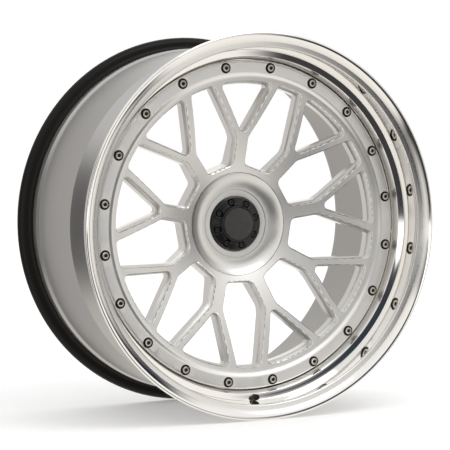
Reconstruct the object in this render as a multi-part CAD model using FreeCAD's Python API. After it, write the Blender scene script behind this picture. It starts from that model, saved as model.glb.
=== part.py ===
"""Three-piece forged racing wheel, 20 x 9.5 inch, as separate bolted sub-parts.

The wheel's axle line is the Y axis. The street side of the wheel faces -Y, the vehicle side
faces +Y, and +Z is up. The origin lies on the axle line, half way between the two tyre beads.
All sizes are in millimetres. Profiles are given as (radius, y) and are turned about the Y axis.
"""

import FreeCAD, Part
import math
import os

V = FreeCAD.Vector
ORIGIN = V(0, 0, 0)
AXLE = V(0, 1, 0)

# ---- rim standard: 20 inch bead seats, 9.5 inch between them, J flanges
BEAD_SEAT_R = 256.4
BEAD_Y = 241.3 / 2
FLANGE_HEIGHT = 17.5
FLANGE_R = BEAD_SEAT_R + FLANGE_HEIGHT
RIM_FACE_Y = 133.5
BEAD_SEAT_WIDTH = 19.6
BEAD_SEAT_LOW_R = BEAD_SEAT_R - BEAD_SEAT_WIDTH * math.tan(math.radians(5))
SEAT_LOW_Y = BEAD_Y - BEAD_SEAT_WIDTH
HUMP_Y = 99.5
HUMP_R = BEAD_SEAT_R + 0.6
BEAD_ROUND = 6.5
FLANGE_BEND = 9.4

# ---- joint between the disc, the lip and the barrel
BOLT_COUNT = 20
BOLT_FIRST_DEG = 180.0 / BOLT_COUNT
BOLT_CIRCLE_R = 226.5
BOLT_FACE_Y = -80.0
BOLT_SHANK_R = 3.4
BOLT_HOLE_R = 3.7
BOLT_HEAD_R = 4.8
COUNTERBORE_R = 7.6
COUNTERBORE_DEPTH = 2.0
WASHER_THICK = 1.2
DISC_R = 236.0
EDGE_ROUND = 4.8
HEAD_HEIGHT = 3.2
HEAD_CHAMFER = 0.5
SOCKET_FLATS = 5.0
SOCKET_DEPTH = 2.2
BOLT_TAIL = 10.0
NUT_BASE_R = 6.2
NUT_BASE = 1.4
NUT_FLATS = 10.0
NUT_HEIGHT = 7.5
PILOT_R = 236.7
FLANGE_BORE_R = 213.5
SPIGOT_R = 213.2
LIP_FLANGE_FRONT_Y = -67.2
LIP_FLANGE_BACK_Y = -60.0
BARREL_FLANGE_BACK_Y = -52.8
WELL_R = 239.2
LIP_WALL_FOOT_R = 250.0
LIP_WALL_TOP_R = 252.3
LIP_STEP_R = 240.8
LIP_OUTSIDE_R = 255.0
BARREL_OUTSIDE_R = 253.7
SEALANT_HALF_WIDTH = 4.5
SEALANT_HEIGHT = 1.6
SEALANT_SHIFT = 1.5
WELL_ROUND = 5.0
CORNER_BREAK = 0.8
# turned corners as (radius, y, round)
LIP_CROWN = [(268.5, -132.6, 3.0), (260.3, -127.4, 3.0)]
LIP_WALL_TOP_Y = -125.0
LIP_STEP_FRONT_Y = -91.5
LIP_STEP_BACK_Y = -89.5
LIP_PILOT_FRONT_Y = -75.0
BARREL_CROWN = [(258.5, 127.5, 1.0), (247.5, 114.5, 8.0)]
BARREL_THROAT = [(247.5, -22.0, 10.0), (235.0, -52.8, 1.0)]
BARREL_WELL = [(239.2, -50.0, 3.0), (253.7, -24.4, 4.0)]

# ---- spokes
SPOKE_COUNT = 9
SPOKE_PITCH = 360.0 / SPOKE_COUNT
STEM_HALF_WIDTH = 9.1
ARM_BEND_Z = 125.2
ARM_OUTER_SLOPE = math.tan(math.radians(30.4))
ARM_INNER_SLOPE = math.tan(math.radians(29.0))
CROTCH_Z = 126.0
CROTCH_ROUND = 7.6
WINDOW_OUTER_R = 205.0
WINDOW_HUB_Z = 83.4
RIM_CORNER_ROUND = 6.0
HUB_CORNER_ROUND = 9.0
BEND_ROUND = 16.0
LEDGE_WIDTH = 2.4
LEDGE_DEPTH = 12.0
EDGE_CHAMFER = 1.3
# front face from hub to rim as an arc, then the step up to the bolted ring, and the back; (radius, y)
FACE_HUB_Y = -43.3
FACE_MIDDLE = (133.6, -63.6)
FACE_RIM_Y = -75.6
RING_STEP = [(211.5, -76.3), (213.8, -77.0), (216.2, -79.0), (218.6, -79.7)]
SPIGOT_BACK_Y = -53.0
SPOKE_BACK = [(200.0, -50.8), (136.0, -39.8), (94.0, -17.5), (84.0, -13.5)]

# ---- hub
HUB_FACE_Y = -6.0
HUB_PAD_R = 76.0
CENTRE_BORE_R = 33.3
LUG_COUNT = 5
LUG_PCD = 112.0
LUG_HOLE_R = 7.3
LUG_FLOOR_Y = -20.0
LUG_SEAT_R = 11.0
COVER_SEAT_R = 74.8
COVER_SEAT_Y = -37.5
LUG_WELL_R = 70.0
HUB_PAD_STEP_Y = -13.0
BOSS_FRONT_Y = -24.0
BOSS_R = 38.0
BOSS_FOOT_R = 39.5
HUB_BREAK = 1.0
WELL_BREAK = 1.5

# ---- hub cover and centre plug
COVER_R = 74.4
COVER_EDGE_Y = -42.8
COVER_HOLE_R = 37.6
COVER_SKIRT_R = 69.6
PLUG_R = 39.6
PLUG_SEAT_Y = -32.2
PLUG_BACK_Y = -29.5
POCKET_COUNT = 8
POCKET_CIRCLE_R = 31.8
POCKET_R = 5.3
POCKET_FLOOR_Y = -35.6
POCKET_FIRST_DEG = 30.0
BADGE_R = 23.2
BADGE_SEAT_Y = -44.4
BADGE_FRONT_Y = -47.4
FIT_GAP = 0.3
DISH_MIDDLE = (64.0, -37.0)
DISH_END = (50.0, -34.4)
GROOVE_EDGE = [(48.9, -34.3), (48.5, -33.6)]
COVER_BACK = [(50.0, PLUG_BACK_Y), (62.0, -32.5), (66.4, -33.6), (66.4, -27.0)]
SKIRT_END_Y = -27.0
O_RING_FRONT_Y = -33.6
O_RING_BACK_Y = -30.4
O_RING_GROOVE = 1.8
O_RING_SECTION_R = 0.95
PLUG_BORE_R = 20.0
PLUG_STUB_HOLE_R = 9.2
PLUG_STEPS = [(38.0, -37.4, 1.0), (27.8, -39.8, 1.5), (25.6, -46.6, 1.0)]
PLUG_EDGE_Y = -34.4
PLUG_FACE_Y = -46.6
SCREW_HEAD_R = 3.5
SCREW_HEAD_HEIGHT = 3.4
SCREW_SHANK_R = 1.95
SCREW_HOLE_R = 2.1
SCREW_END_Y = -26.5
SCREW_FLATS = 3.0
SCREW_SOCKET_DEPTH = 2.0
BACKING_INNER_R = 27.0
BACKING_OUTER_R = 43.0
BACKING_BACK_Y = -25.5
STUB_R = 9.0
STUB_NECK_R = 8.0
STUB_NECK_START = 3.2
STUB_NECK_END = 4.2
STUB_LENGTH = 5.6
CLIP_OUTER_R = 11.5
CLIP_THICK = 0.8
CLIP_MOUTH = 7.0

# ---- tyre valve, standing on the lip's step at the lowest point, parallel to the axle line
VALVE_Z = -245.4
VALVE_HOLE_R = 3.45
VALVE_STEM_R = 3.3
VALVE_HEAD_R = 5.6
VALVE_HEAD_Y = -70.6
VALVE_SEAL_Y = -73.0
VALVE_POCKET_R = 6.0
VALVE_POCKET_Y = -75.0
VALVE_NUT_R = 4.1
VALVE_SPOTFACE_Y = -89.4
VALVE_NUT_TOP_Y = -91.6
VALVE_TIP_Y = -98.3
VALVE_AIR_R = 1.0
VALVE_CORE_BORE_R = 1.9
VALVE_CORE_FLOOR_Y = -86.2
VALVE_CORE_BACK_Y = -88.6
VALVE_CORE_FRONT_Y = -93.3
VALVE_COLLAR_Y = -96.5
VALVE_PIN_R = 0.5
VALVE_CAP_R = 4.2
VALVE_CAP_TOP_Y = -100.5
VALVE_CAP_RIM_Y = -92.0
CAP_RIB_COUNT = 16
CAP_RIB_R = 0.35
CAP_ROUND = 0.9
CAP_ROOM = 0.7


def rounded_outline(corners, place):
    """Closed wire through (u, v, round) corners; place turns (u, v) into a point in space."""
    count = len(corners)
    starts, ends, arcs = [], [], []
    for i, (u, v, rounding) in enumerate(corners):
        before = corners[i - 1]
        after = corners[(i + 1) % count]
        to_before = V(before[0] - u, before[1] - v, 0)
        to_after = V(after[0] - u, after[1] - v, 0)
        corner = V(u, v, 0)
        if rounding <= 0:
            starts.append(corner)
            ends.append(corner)
            arcs.append(None)
            continue
        half = to_before.getAngle(to_after) / 2
        cut = rounding / math.tan(half)
        middle = to_before.normalize() + to_after.normalize()
        middle.normalize()
        centre = corner + middle * (rounding / math.sin(half))
        starts.append(corner + to_before * cut)
        ends.append(corner + to_after * cut)
        arcs.append(centre - middle * rounding)
    edges = []
    for i in range(count):
        if arcs[i] is not None:
            edges.append(Part.Arc(place(starts[i]), place(arcs[i]), place(ends[i])).toShape())
        a, b = place(ends[i]), place(starts[(i + 1) % count])
        if a.distanceToPoint(b) > 1e-6:
            edges.append(Part.makeLine(a, b))
    return Part.Wire(Part.__sortEdges__(edges))


def in_profile(point):
    """(radius, y) to the half plane x > 0, z = 0."""
    return V(point.x, point.y, 0)


def turned(corners):
    """Solid of revolution about the axle line from (radius, y, round) corners."""
    face = Part.Face(rounded_outline(corners, in_profile))
    return face.revolve(ORIGIN, AXLE, 360)


def ring(inner_r, outer_r, y0, y1):
    """Plain ring about the axle line."""
    return turned([(inner_r, y0, 0), (outer_r, y0, 0), (outer_r, y1, 0), (inner_r, y1, 0)])


def rod(radius, y0, y1, x=0.0, z=0.0):
    """Cylinder parallel to the axle line."""
    return Part.makeCylinder(radius, y1 - y0, V(x, y0, z), AXLE)


def about_axle(shape, degrees):
    """Copy turned about the axle line; positive turns +Z towards +X."""
    copy = shape.copy()
    copy.rotate(ORIGIN, AXLE, degrees)
    return copy


def polar_copies(shape, count, first_deg=0.0):
    """Copies evenly spaced about the axle line."""
    return [about_axle(shape, first_deg + i * 360.0 / count) for i in range(count)]


def hexagon_prism(across_flats, y0, y1, z):
    """Hexagon bar parallel to the axle line, standing at height z on the +Z side."""
    corner_r = across_flats / math.sqrt(3)
    points = [
        V(corner_r * math.sin(math.radians(60 * i)), y0, z + corner_r * math.cos(math.radians(60 * i)))
        for i in range(7)
    ]
    return Part.Face(Part.makePolygon(points)).extrude(V(0, y1 - y0, 0))


# ---------------------------------------------------------------- centre disc
def disc_front_corners(shift=0.0):
    """Front of the disc from the hub recess to the outer edge, as (radius, y) points."""
    return [
        V(COVER_SEAT_R, FACE_HUB_Y + shift, 0),
        V(FACE_MIDDLE[0], FACE_MIDDLE[1] + shift, 0),
        V(WINDOW_OUTER_R, FACE_RIM_Y + shift, 0),
    ]


def disc_blank():
    """Turned forging before the windows are milled."""
    hub_edge, middle, spoke_end = disc_front_corners()
    face_arc = Part.Arc(hub_edge, middle, spoke_end).toShape()
    front = [spoke_end] + in_plane(RING_STEP) + [V(DISC_R - EDGE_ROUND, BOLT_FACE_Y, 0)]
    edge_start, edge_end = front[-1], V(DISC_R, BOLT_FACE_Y + EDGE_ROUND, 0)
    edge_middle = V(DISC_R - EDGE_ROUND, BOLT_FACE_Y + EDGE_ROUND, 0)
    edge_middle += V(EDGE_ROUND * math.sqrt(0.5), -EDGE_ROUND * math.sqrt(0.5), 0)
    edge_arc = Part.Arc(edge_start, edge_middle, edge_end).toShape()
    back = [
        edge_end,
        V(DISC_R, LIP_FLANGE_FRONT_Y, 0),
        V(SPIGOT_R, LIP_FLANGE_FRONT_Y, 0),
        V(SPIGOT_R, SPIGOT_BACK_Y, 0),
        V(SPIGOT_R - HUB_BREAK, SPIGOT_BACK_Y + HUB_BREAK, 0),
    ]
    back += in_plane(SPOKE_BACK)
    back += [
        V(HUB_PAD_R + WELL_BREAK, HUB_PAD_STEP_Y, 0),
        V(HUB_PAD_R, HUB_PAD_STEP_Y + HUB_BREAK, 0),
        V(HUB_PAD_R, HUB_FACE_Y - HUB_BREAK, 0),
        V(HUB_PAD_R - HUB_BREAK, HUB_FACE_Y, 0),
        V(CENTRE_BORE_R + HUB_BREAK, HUB_FACE_Y, 0),
        V(CENTRE_BORE_R, HUB_FACE_Y - HUB_BREAK, 0),
        V(CENTRE_BORE_R, BOSS_FRONT_Y, 0),
        V(BOSS_R, BOSS_FRONT_Y, 0),
        V(BOSS_FOOT_R, LUG_FLOOR_Y, 0),
        V(LUG_WELL_R - WELL_BREAK, LUG_FLOOR_Y, 0),
        V(LUG_WELL_R, LUG_FLOOR_Y - WELL_BREAK, 0),
        V(LUG_WELL_R, COVER_SEAT_Y, 0),
        V(COVER_SEAT_R, COVER_SEAT_Y, 0),
        hub_edge,
    ]
    return Part.Face(Part.Wire([face_arc] + chain(front) + [edge_arc] + chain(back))).revolve(ORIGIN, AXLE, 360)


def in_plane(pairs):
    """(radius, y) pairs as points of the profile's plane."""
    return [V(radius, y, 0) for radius, y in pairs]


def chain(points):
    """Straight edges from each point to the next."""
    return [Part.makeLine(points[i], points[i + 1]) for i in range(len(points) - 1)]


def zone_before_ledge():
    """All space in front of the ledge that runs round every window."""
    hub_edge, middle, spoke_end = disc_front_corners(LEDGE_DEPTH)
    arc = Part.Arc(hub_edge, middle, spoke_end).toShape()
    rim_side = V(WINDOW_OUTER_R + 20, spoke_end.y - 0.8, 0)
    hub_side = V(40.0, hub_edge.y + 16.0, 0)
    far = -150.0
    loop = [spoke_end, rim_side, V(rim_side.x, far, 0), V(hub_side.x, far, 0), hub_side, hub_edge]
    return Part.Face(Part.Wire([arc] + chain(loop))).revolve(ORIGIN, AXLE, 360)


def milled_outline(points, rounds, outer_r):
    """Wire at y = 0 through (x, z) points, cut off by the circle outer_r and rounded at its corners.

    points run up one side of a window that is symmetric about +Z and go on past the circle;
    rounds has one radius for each point inside the circle, and a last one for the circle's corner.
    """
    corners = points + [(-x, z) for x, z in reversed(points) if x > 1e-9]
    path = [V(x, 0, z) for x, z in corners]
    blank = Part.Face(Part.makePolygon(path + path[:1])).extrude(V(0, 1, 0))
    blank = blank.common(about_axle(Part.makeCylinder(outer_r, 1, ORIGIN, AXLE), 180))
    for (x, z), rounding in zip(points, rounds):
        if math.hypot(x, z) > outer_r:
            break
        blank = round_posts(blank, x, z, rounding)
    corner = max((e.CenterOfMass for e in posts(blank) if abs(e.CenterOfMass.x) > 1), key=lambda c: c.z)
    return base_wire(round_posts(blank, abs(corner.x), corner.z, rounds[-1]))


def posts(prism):
    """Edges of a prism that run parallel to the axle line."""
    found = []
    for edge in prism.Edges:
        if len(edge.Vertexes) == 2:
            a, b = (v.Point for v in edge.Vertexes)
            if abs(a.x - b.x) < 1e-6 and abs(a.z - b.z) < 1e-6:
                found.append(edge)
    return found


def round_posts(prism, x, z, rounding):
    """Rounds the posts that stand at (x, z) and (-x, z)."""
    near = [e for e in posts(prism) if math.hypot(abs(e.CenterOfMass.x) - x, e.CenterOfMass.z - z) < 0.01]
    return prism.makeFillet(rounding, near)


def base_wire(prism):
    """Outline of a prism's face at y = 0."""
    return min(prism.Faces, key=lambda f: (abs(f.BoundBox.YMin) + abs(f.BoundBox.YMax))).OuterWire


def crotch_outline():
    """Three-sided window between the two arms of the spoke that stands on +Z."""
    tall = WINDOW_OUTER_R * 1.2
    points = [(0.0, CROTCH_Z), ((tall - CROTCH_Z) * ARM_INNER_SLOPE, tall)]
    return milled_outline(points, [CROTCH_ROUND, RIM_CORNER_ROUND], WINDOW_OUTER_R)


def gap_outline():
    """Six-sided window between two spokes, symmetric about +Z."""
    turn = math.radians(SPOKE_PITCH / 2)

    def from_spoke(x, z):
        return (-x * math.cos(turn) + z * math.sin(turn), x * math.sin(turn) + z * math.cos(turn))

    bend = from_spoke(STEM_HALF_WIDTH, ARM_BEND_Z)
    stem_low = from_spoke(STEM_HALF_WIDTH, 0.0)
    share = (WINDOW_HUB_Z - stem_low[1]) / (bend[1] - stem_low[1])
    hub_corner = (stem_low[0] + (bend[0] - stem_low[0]) * share, WINDOW_HUB_Z)
    reach = WINDOW_OUTER_R * 1.2
    past_rim = from_spoke(STEM_HALF_WIDTH + (reach - ARM_BEND_Z) * ARM_OUTER_SLOPE, reach)
    points = [hub_corner, bend, past_rim]
    rounds = [HUB_CORNER_ROUND, BEND_ROUND, RIM_CORNER_ROUND]
    return milled_outline(points, rounds, WINDOW_OUTER_R)


def milled_window(outline, front_zone):
    """What a window removes: its full outline down to the ledge, and a smaller one right through."""
    full = Part.Face(outline).extrude(V(0, -140, 0))
    small = Part.Face(outline.makeOffset2D(-LEDGE_WIDTH)).extrude(V(0, -140, 0))
    return full.common(front_zone), small


def centre_disc():
    """Forged centre: nine Y spokes, a bolted outer ring and the hub."""
    disc = disc_blank()
    front_zone = zone_before_ledge()
    cutters = []
    for outline, first_deg in ((crotch_outline(), 0.0), (gap_outline(), SPOKE_PITCH / 2)):
        upper, through = milled_window(outline, front_zone)
        cutters += polar_copies(upper, SPOKE_COUNT, first_deg) + polar_copies(through, SPOKE_COUNT, first_deg)
    disc = disc.cut(cutters)
    edges = [e for e in disc.Edges if is_window_rim(e)]
    disc = disc.makeChamfer(EDGE_CHAMFER, edges)
    counterbore = rod(COUNTERBORE_R, BOLT_FACE_Y - 1, BOLT_FACE_Y + COUNTERBORE_DEPTH, z=BOLT_CIRCLE_R)
    lug = rod(LUG_HOLE_R, LUG_FLOOR_Y - 1, HUB_FACE_Y + 1, z=LUG_PCD / 2)
    seat_place = V(0, LUG_FLOOR_Y, LUG_PCD / 2)
    seat = Part.makeCone(LUG_SEAT_R, LUG_HOLE_R, LUG_SEAT_R - LUG_HOLE_R, seat_place, AXLE)
    counterbores = polar_copies(counterbore, BOLT_COUNT, BOLT_FIRST_DEG)
    return disc.cut(bolt_holes() + counterbores + polar_copies(lug.fuse(seat), LUG_COUNT))


def is_window_rim(edge):
    """True for the edges where a window meets the curved front face of the spokes."""
    for share in (0.1, 0.5, 0.9):
        first, last = edge.ParameterRange
        p = edge.valueAt(first + (last - first) * share)
        r = math.hypot(p.x, p.z)
        if not COVER_SEAT_R + 1 < r < WINDOW_OUTER_R + 0.01 or abs(p.y - front_y_at(r)) > 0.02:
            return False
    return True


def front_y_at(radius):
    """Height of the curved front face at a radius, from the circle through its three points."""
    a, b, c = disc_front_corners()
    centre = Part.Arc(a, b, c).toShape().Curve.Center
    bend_r = centre.distanceToPoint(a)
    side = 1 if a.y > centre.y else -1
    return centre.y + side * math.sqrt(bend_r**2 - (radius - centre.x) ** 2)


# ---------------------------------------------------------------- lip and barrel
def bolt_holes():
    """Clearance holes for the assembly bolts, through all three rim pieces."""
    hole = rod(BOLT_HOLE_R, BOLT_FACE_Y - 1, BARREL_FLANGE_BACK_Y + 1, z=BOLT_CIRCLE_R)
    return polar_copies(hole, BOLT_COUNT, BOLT_FIRST_DEG)


def outer_lip():
    """Stepped street-side half of the rim, with its bolting flange behind the disc."""
    lip = turned([
        (FLANGE_R, -BEAD_Y, FLANGE_BEND),
        (FLANGE_R, -RIM_FACE_Y, 2.5),
        *LIP_CROWN,
        (LIP_WALL_TOP_R, LIP_WALL_TOP_Y, 3.0),
        (LIP_WALL_FOOT_R, LIP_STEP_FRONT_Y, 1.2),
        (LIP_STEP_R, LIP_STEP_BACK_Y, CORNER_BREAK),
        (PILOT_R, LIP_PILOT_FRONT_Y, 0.5),
        (PILOT_R, LIP_FLANGE_FRONT_Y, 0),
        (FLANGE_BORE_R, LIP_FLANGE_FRONT_Y, CORNER_BREAK),
        (FLANGE_BORE_R, LIP_FLANGE_BACK_Y, CORNER_BREAK),
        (WELL_R, LIP_FLANGE_BACK_Y, 0),
        (WELL_R, LIP_FLANGE_BACK_Y - WELL_ROUND, WELL_ROUND),
        (LIP_OUTSIDE_R, -78.0, WELL_ROUND),
        (LIP_OUTSIDE_R, -HUMP_Y + 3.0, 2.0),
        (HUMP_R, -HUMP_Y, 1.5),
        (BEAD_SEAT_LOW_R, -SEAT_LOW_Y, 2.0),
        (BEAD_SEAT_R, -BEAD_Y, BEAD_ROUND),
    ])
    valve_cuts = [
        valve_rod(VALVE_HOLE_R, VALVE_CAP_RIM_Y, LIP_FLANGE_BACK_Y),
        valve_rod(VALVE_NUT_R + 0.2, VALVE_NUT_TOP_Y - 1.0, VALVE_SPOTFACE_Y),
        valve_rod(VALVE_POCKET_R, VALVE_POCKET_Y, LIP_FLANGE_BACK_Y),
    ]
    return lip.cut(bolt_holes() + valve_cuts)


def inner_barrel():
    """Vehicle-side half of the rim, bolted to the back of the lip's flange."""
    barrel = turned([
        (FLANGE_R, BEAD_Y, FLANGE_BEND),
        (FLANGE_R, RIM_FACE_Y, 2.8),
        *BARREL_CROWN,
        *BARREL_THROAT,
        (FLANGE_BORE_R, BARREL_FLANGE_BACK_Y, CORNER_BREAK),
        (FLANGE_BORE_R, LIP_FLANGE_BACK_Y, CORNER_BREAK),
        (WELL_R, LIP_FLANGE_BACK_Y, 0),
        *BARREL_WELL,
        (BARREL_OUTSIDE_R, HUMP_Y - 7.0, 3.0),
        (HUMP_R, HUMP_Y, 1.5),
        (BEAD_SEAT_LOW_R, SEAT_LOW_Y, 2.0),
        (BEAD_SEAT_R, BEAD_Y, BEAD_ROUND),
    ])
    return barrel.cut(bolt_holes())


def joint_sealant():
    """Domed bead of silicone over the seam between lip and barrel, in the tyre well."""
    middle_y = LIP_FLANGE_BACK_Y + SEALANT_SHIFT
    low = V(WELL_R, middle_y - SEALANT_HALF_WIDTH, 0)
    high = V(WELL_R, middle_y + SEALANT_HALF_WIDTH, 0)
    top = (low + high) / 2 + V(SEALANT_HEIGHT, 0, 0)
    wire = Part.Wire([Part.Arc(low, top, high).toShape(), Part.makeLine(high, low)])
    return Part.Face(wire).revolve(ORIGIN, AXLE, 360)


# ---------------------------------------------------------------- fasteners of the three rim pieces
def assembly_bolts():
    """Low round heads with a hexagon socket, drawn up through disc, lip and barrel."""
    seat = BOLT_FACE_Y + COUNTERBORE_DEPTH - WASHER_THICK
    head_top = seat - HEAD_HEIGHT
    head = rod(BOLT_HEAD_R, head_top, seat, z=BOLT_CIRCLE_R)
    crown = max(head.Edges, key=lambda e: -e.CenterOfMass.y if len(e.Vertexes) == 1 else -1e9)
    head = head.makeChamfer(HEAD_CHAMFER, [crown])
    shank = rod(BOLT_SHANK_R, seat, BARREL_FLANGE_BACK_Y + BOLT_TAIL, z=BOLT_CIRCLE_R)
    socket = hexagon_prism(SOCKET_FLATS, head_top - 1, head_top + SOCKET_DEPTH, BOLT_CIRCLE_R)
    bolt = head.fuse(shank).removeSplitter().cut(socket)
    return Part.makeCompound(polar_copies(bolt, BOLT_COUNT, BOLT_FIRST_DEG))


def bolt_washers():
    """Black hard washers in the disc's counterbores."""
    floor = BOLT_FACE_Y + COUNTERBORE_DEPTH
    washer = rod(COUNTERBORE_R - 0.2, floor - WASHER_THICK, floor, z=BOLT_CIRCLE_R)
    washer = washer.cut(rod(BOLT_HOLE_R, floor - 5, floor + 5, z=BOLT_CIRCLE_R))
    return Part.makeCompound(polar_copies(washer, BOLT_COUNT, BOLT_FIRST_DEG))


def assembly_nuts():
    """Flanged nuts behind the barrel's bolting flange."""
    base = BARREL_FLANGE_BACK_Y
    hexagon = hexagon_prism(NUT_FLATS, base + NUT_BASE, base + NUT_HEIGHT, BOLT_CIRCLE_R)
    nut = rod(NUT_BASE_R, base, base + NUT_BASE, z=BOLT_CIRCLE_R).fuse(hexagon)
    nut = nut.cut(rod(BOLT_SHANK_R, base - 1, base + NUT_HEIGHT + 1, z=BOLT_CIRCLE_R))
    return Part.makeCompound(polar_copies(nut, BOLT_COUNT, BOLT_FIRST_DEG))


# ---------------------------------------------------------------- hub cover and centre plug
def hub_cover():
    """Turned dish over the lug bolts, with a skirt that enters the disc's hub recess."""
    rim_edge, dish, inner_edge = in_plane([(COVER_R - 0.6, COVER_EDGE_Y), DISH_MIDDLE, DISH_END])
    dish_arc = Part.Arc(rim_edge, dish, inner_edge).toShape()
    outline = [
        inner_edge,
        *in_plane(GROOVE_EDGE),
        V(PLUG_R + FIT_GAP, -33.0, 0),
        V(PLUG_R + 0.2, PLUG_SEAT_Y, 0),
        V(COVER_HOLE_R, PLUG_SEAT_Y, 0),
        V(COVER_HOLE_R, PLUG_BACK_Y, 0),
        *in_plane(COVER_BACK),
        V(COVER_SKIRT_R, SKIRT_END_Y, 0),
        V(COVER_SKIRT_R, O_RING_BACK_Y, 0),
        V(COVER_SKIRT_R - O_RING_GROOVE, O_RING_BACK_Y, 0),
        V(COVER_SKIRT_R - O_RING_GROOVE, O_RING_FRONT_Y, 0),
        V(COVER_SKIRT_R, O_RING_FRONT_Y, 0),
        V(COVER_SKIRT_R, COVER_SEAT_Y - FIT_GAP, 0),
        V(COVER_R, COVER_SEAT_Y - FIT_GAP, 0),
        V(COVER_R, COVER_EDGE_Y + 0.6, 0),
        rim_edge,
    ]
    return Part.Face(Part.Wire([dish_arc] + chain(outline))).revolve(ORIGIN, AXLE, 360)


def cover_o_ring():
    """Rubber ring in the skirt's groove that holds the cover in the disc."""
    centre_r = COVER_SKIRT_R - O_RING_GROOVE + O_RING_SECTION_R + 0.02
    middle_y = (O_RING_FRONT_Y + O_RING_BACK_Y) / 2
    return Part.makeTorus(centre_r, O_RING_SECTION_R, V(0, middle_y, 0), AXLE)


def centre_plug():
    """Black stepped plug with eight blind pockets round a boss."""
    body = turned([
        (PLUG_BORE_R, PLUG_BACK_Y, 0.5),
        (COVER_HOLE_R - 0.1, PLUG_BACK_Y, 0.3),
        (COVER_HOLE_R - 0.1, PLUG_SEAT_Y, 0),
        (PLUG_R, PLUG_SEAT_Y, 0.3),
        (PLUG_R, PLUG_EDGE_Y, 0.8),
        *PLUG_STEPS,
        (BADGE_R + FIT_GAP / 2, PLUG_FACE_Y, 0.3),
        (BADGE_R + FIT_GAP / 2, BADGE_SEAT_Y, 0),
        (PLUG_STUB_HOLE_R, BADGE_SEAT_Y, 0),
        (PLUG_STUB_HOLE_R, BADGE_SEAT_Y + 3.0, 0),
        (PLUG_BORE_R, BADGE_SEAT_Y + 3.0, 2.0),
    ])
    pocket = rod(POCKET_R, -50, POCKET_FLOOR_Y, z=POCKET_CIRCLE_R)
    screw_hole = rod(SCREW_HOLE_R, -50, PLUG_BACK_Y + 1, z=POCKET_CIRCLE_R)
    return body.cut(polar_copies(pocket.fuse(screw_hole), POCKET_COUNT, POCKET_FIRST_DEG))


def plug_screws():
    """Socket screws at the bottom of the plug's pockets, into the backing ring."""
    head_top = POCKET_FLOOR_Y - SCREW_HEAD_HEIGHT
    head = rod(SCREW_HEAD_R, head_top, POCKET_FLOOR_Y, z=POCKET_CIRCLE_R)
    crown = max(head.Edges, key=lambda e: -e.CenterOfMass.y if len(e.Vertexes) == 1 else -1e9)
    head = head.makeChamfer(0.4, [crown])
    shank = rod(SCREW_SHANK_R, POCKET_FLOOR_Y, SCREW_END_Y, z=POCKET_CIRCLE_R)
    socket = hexagon_prism(SCREW_FLATS, head_top - 1, head_top + SCREW_SOCKET_DEPTH, POCKET_CIRCLE_R)
    screw = head.fuse(shank).removeSplitter().cut(socket)
    return Part.makeCompound(polar_copies(screw, POCKET_COUNT, POCKET_FIRST_DEG))


def plug_backing_ring():
    """Threaded ring behind the cover that the plug's screws pull against."""
    plain = ring(BACKING_INNER_R, BACKING_OUTER_R, PLUG_BACK_Y, BACKING_BACK_Y)
    hole = rod(SCREW_SHANK_R, PLUG_BACK_Y - 1, BACKING_BACK_Y + 1, z=POCKET_CIRCLE_R)
    return plain.cut(polar_copies(hole, POCKET_COUNT, POCKET_FIRST_DEG))


def badge_disc():
    """Plain round face of the plug, with a grooved stub through the plug."""
    return turned([
        (0.0, BADGE_FRONT_Y, 0),
        (BADGE_R, BADGE_FRONT_Y, 0.8),
        (BADGE_R, BADGE_SEAT_Y, 0),
        (STUB_R, BADGE_SEAT_Y, 0),
        (STUB_R, BADGE_SEAT_Y + STUB_NECK_START, 0),
        (STUB_NECK_R, BADGE_SEAT_Y + STUB_NECK_START, 0),
        (STUB_NECK_R, BADGE_SEAT_Y + STUB_NECK_END, 0),
        (STUB_R, BADGE_SEAT_Y + STUB_NECK_END, 0),
        (STUB_R, BADGE_SEAT_Y + STUB_LENGTH, 0.4),
        (0.0, BADGE_SEAT_Y + STUB_LENGTH, 0),
    ])


def badge_clip():
    """Open spring ring in the stub's groove."""
    low = BADGE_SEAT_Y + (STUB_NECK_START + STUB_NECK_END - CLIP_THICK) / 2
    clip = ring(STUB_NECK_R + 0.05, CLIP_OUTER_R, low, low + CLIP_THICK)
    corner = V(-CLIP_MOUTH / 2, low - CLIP_THICK / 2, 0)
    return clip.cut(Part.makeBox(CLIP_MOUTH, 2 * CLIP_THICK, CLIP_OUTER_R + 1, corner))


# ---------------------------------------------------------------- tyre valve
def valve_rod(radius, y0, y1):
    """Cylinder on the valve's own axis."""
    return rod(radius, y0, y1, z=VALVE_Z)


def valve_tube(inner_r, outer_r, y0, y1):
    """Hollow cylinder on the valve's own axis."""
    return valve_rod(outer_r, y0, y1).cut(valve_rod(inner_r, y0 - 1, y1 + 1))


def valve_stem():
    """Clamp-in stem: a head on the tyre side and a threaded tube through the lip."""
    head = valve_rod(VALVE_HEAD_R, VALVE_SEAL_Y, VALVE_HEAD_Y)
    stem = valve_rod(VALVE_STEM_R, VALVE_TIP_Y, VALVE_SEAL_Y).fuse(head).removeSplitter()
    air_way = valve_rod(VALVE_AIR_R, VALVE_CORE_FLOOR_Y - 1, VALVE_HEAD_Y + 1)
    core_bore = valve_rod(VALVE_CORE_BORE_R, VALVE_TIP_Y - 1, VALVE_CORE_FLOOR_Y)
    return stem.cut([air_way, core_bore])


def valve_seal():
    """Rubber grommet between the stem's head and the lip's pocket."""
    return valve_tube(VALVE_STEM_R, VALVE_HEAD_R - 0.2, VALVE_POCKET_Y, VALVE_SEAL_Y)


def valve_nut():
    """Round nut with two spanner flats that clamps the stem to the lip's step."""
    nut = valve_tube(VALVE_STEM_R, VALVE_NUT_R, VALVE_NUT_TOP_Y, VALVE_SPOTFACE_Y)
    flat = VALVE_NUT_R - 0.35
    front_y = VALVE_NUT_TOP_Y - 1
    sides = [Part.makeBox(2, 4, 12, V(x, front_y, VALVE_Z - 6)) for x in (-flat - 2, flat)]
    return nut.cut(sides)


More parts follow.
